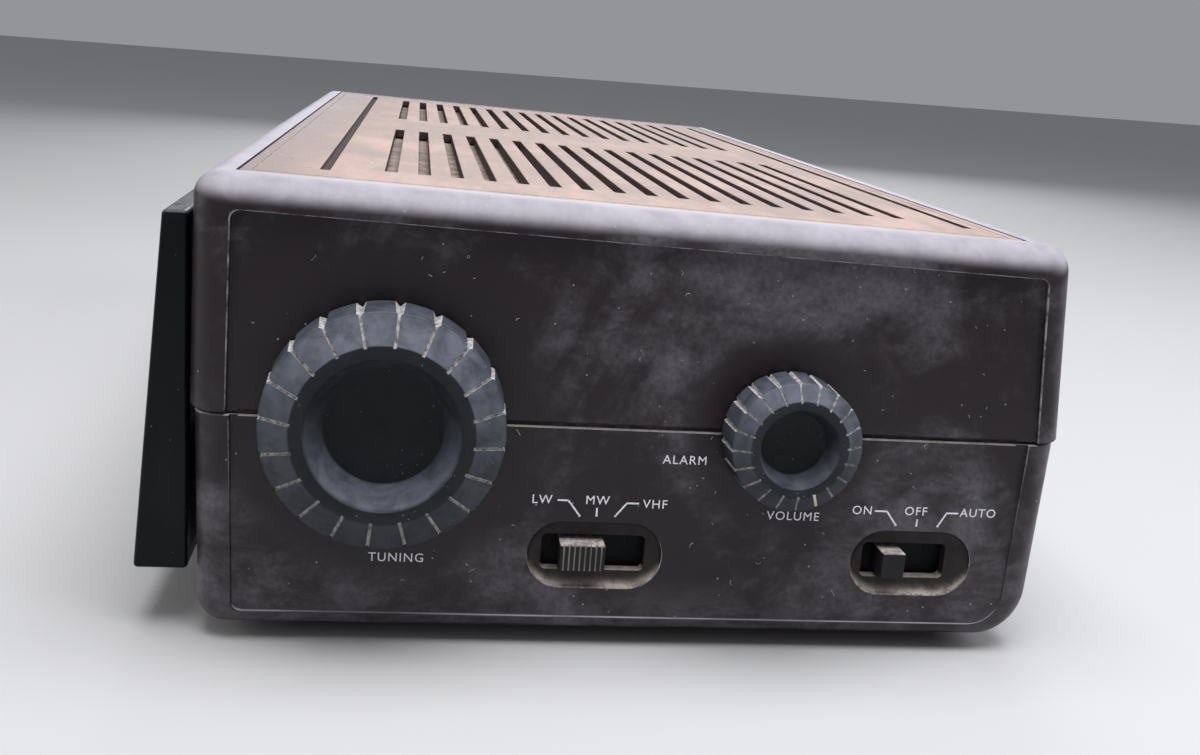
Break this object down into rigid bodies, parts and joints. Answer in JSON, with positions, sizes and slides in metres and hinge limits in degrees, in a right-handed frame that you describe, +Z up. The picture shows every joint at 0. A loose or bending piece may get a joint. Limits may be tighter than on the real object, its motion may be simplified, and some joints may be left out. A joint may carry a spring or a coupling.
{
  "type": "table clock radio",
  "caption": "Mains table clock radio: two-part dark cabinet, slotted top, wedge front with smoked window, and tuning, volume and slide controls on one end.",
  "frame": {"origin": "on the resting surface, under the middle of the radio's bounding box", "axes": "+X along the cabinet, out of the end with the controls; -Y out of the front with the display; +Z up"},
  "size_m": [0.3262, 0.1628, 0.0798],
  "materials": {
    "cabinet_plastic": "very dark brown injection-moulded polystyrene, satin, dusty, with fine scratches",
    "grille_plastic": "brown moulded plastic under a film of tan dust",
    "bezel_plastic": "glossy black moulding with dust specks",
    "window_plastic": "smoked transparent acrylic",
    "knob_plastic": "black satin moulding, blue-grey dust on the chamfers and in the grooves",
    "switch_plastic": "black moulding, worn and dusty on top",
    "button_plastic": "black buttons with a satin top",
    "foot_rubber": "black rubber, matt",
    "plated_steel": "zinc-plated steel",
    "shaft_brass": "turned brass",
    "circuit_board": "brown phenolic laminate with tracks and solder",
    "white_plastic": "off-white moulding",
    "scale_print": "matt black scale with pale marks",
    "pointer_red": "translucent red-orange pointer",
    "copper_winding": "enamelled copper winding under tape",
    "core_iron": "varnished iron laminations and pressed steel",
    "ferrite": "sintered ferrite, dark grey",
    "cone_paper": "black pressed paper",
    "cord_textile": "waxed braided dial cord",
    "can_sleeve": "dark blue heat-shrunk sleeve",
    "module_plastic": "black moulded package"
  },
  "bodies": {
    "cabinet": {"upper_shell": "cabinet_plastic", "lower_shell": "cabinet_plastic", "top_grille": "grille_plastic", "front_bezel": "bezel_plastic", "display_window": "window_plastic", "rubber_foot_1": "foot_rubber", "rubber_foot_2": "foot_rubber", "rubber_foot_3": "foot_rubber", "rubber_foot_4": "foot_rubber", "cord_gland": "foot_rubber", "cabinet_screw_1": "plated_steel", "cabinet_screw_2": "plated_steel", "cabinet_screw_3": "plated_steel", "cabinet_screw_4": "plated_steel", "board_screw_1": "plated_steel", "board_screw_2": "plated_steel", "tuning_bracket": "plated_steel", "dial_frame": "plated_steel", "pointer_rail": "plated_steel", "guide_pulley_pin": "plated_steel", "volume_control": "plated_steel", "main_board": "circuit_board", "control_board": "circuit_board", "clock_board": "circuit_board", "button_strip": "circuit_board", "tuning_capacitor": "white_plastic", "rod_holder": "white_plastic", "dial_scale": "scale_print", "transformer_winding": "copper_winding", "medium_wave_coil": "copper_winding", "long_wave_coil": "copper_winding", "transformer_core": "core_iron", "speaker_frame": "core_iron", "speaker_magnet": "ferrite", "ferrite_rod": "ferrite", "speaker_cone": "cone_paper", "dial_cord": "cord_textile", "filter_capacitor": "can_sleeve", "clock_display": "module_plastic", "clock_chip": "module_plastic", "band_switch": "module_plastic", "auto_switch": "module_plastic"},
    "tuning": {"tuning_knob": "knob_plastic", "tuning_shaft": "plated_steel"},
    "drum": {"tuning_drum": "white_plastic", "capacitor_shaft": "shaft_brass"},
    "pointer": {"dial_pointer": "pointer_red"},
    "upper_guide": {"guide_pulley_upper": "white_plastic"},
    "lower_guide": {"guide_pulley_lower": "white_plastic"},
    "far_pulley": {"return_pulley": "white_plastic"},
    "volume": {"volume_knob": "knob_plastic", "volume_shaft": "plated_steel"},
    "band": {"band_slider": "switch_plastic"},
    "auto": {"auto_slider": "switch_plastic"},
    "snooze": {"snooze_bar": "button_plastic"},
    "hour": {"hour_button": "button_plastic"},
    "minute": {"minute_button": "button_plastic"},
    "alarm": {"alarm_button": "button_plastic"},
    "sleep": {"sleep_button": "button_plastic"}
  },
  "joints": [
    {"name": "tuning_turn", "type": "hinge", "parent": "cabinet", "child": "tuning", "pos_m": [0.1529, -0.03965, 0.0405], "axis": [1, 0, 0], "range_deg": [-570, 570]},
    {"name": "drum_turn", "type": "hinge", "parent": "cabinet", "child": "drum", "pos_m": [0.1157, -0.00565, 0.0405], "axis": [1, 0, 0], "range_deg": [-90, 90]},
    {"name": "pointer_slide", "type": "slide", "parent": "cabinet", "child": "pointer", "axis": [1, 0, 0], "range_m": [-0.035, 0.035]},
    {"name": "upper_guide_turn", "type": "hinge", "parent": "cabinet", "child": "upper_guide", "pos_m": [0.1115, -0.05595, 0.06278], "axis": [0, 0, 1], "range_deg": [-480, 480]},
    {"name": "lower_guide_turn", "type": "hinge", "parent": "cabinet", "child": "lower_guide", "pos_m": [0.1115, -0.05595, 0.037], "axis": [0, 0, 1], "range_deg": [-480, 480]},
    {"name": "far_pulley_turn", "type": "hinge", "parent": "cabinet", "child": "far_pulley", "pos_m": [0.0009, -0.06015, 0.04989], "axis": [0, 1, 0], "range_deg": [-160, 160]},
    {"name": "volume_turn", "type": "hinge", "parent": "cabinet", "child": "volume", "pos_m": [0.1529, 0.02955, 0.0405], "axis": [1, 0, 0], "range_deg": [0, 270]},
    {"name": "band_slide", "type": "slide", "parent": "cabinet", "child": "band", "axis": [0, 1, 0], "range_m": [0, 0.0063]},
    {"name": "auto_slide", "type": "slide", "parent": "cabinet", "child": "auto", "axis": [0, 1, 0], "range_m": [0, 0.0078]},
    {"name": "snooze_press", "type": "slide", "parent": "cabinet", "child": "snooze", "axis": [0, 0.997, -0.0773], "range_m": [0, 0.0015], "stiffness_N_per_m": 400, "springref_m": -0.001},
    {"name": "hour_press", "type": "slide", "parent": "cabinet", "child": "hour", "axis": [0, 0.997, -0.0773], "range_m": [0, 0.0015], "stiffness_N_per_m": 400, "springref_m": -0.001},
    {"name": "minute_press", "type": "slide", "parent": "cabinet", "child": "minute", "axis": [0, 0.997, -0.0773], "range_m": [0, 0.0015], "stiffness_N_per_m": 400, "springref_m": -0.001},
    {"name": "alarm_press", "type": "slide", "parent": "cabinet", "child": "alarm", "axis": [0, 0.997, -0.0773], "range_m": [0, 0.0015], "stiffness_N_per_m": 400, "springref_m": -0.001},
    {"name": "sleep_press", "type": "slide", "parent": "cabinet", "child": "sleep", "axis": [0, 0.997, -0.0773], "range_m": [0, 0.0015], "stiffness_N_per_m": 400, "springref_m": -0.001}
  ],
  "couplings": [
    {"joint": "drum_turn", "follows": "tuning_turn", "ratio": 0.15708},
    {"joint": "pointer_slide", "follows": "tuning_turn", "m_per_rad": -0.0035},
    {"joint": "upper_guide_turn", "follows": "tuning_turn", "ratio": -0.83333},
    {"joint": "lower_guide_turn", "follows": "tuning_turn", "ratio": 0.83333},
    {"joint": "far_pulley_turn", "follows": "tuning_turn", "ratio": -0.27151}
  ]
}
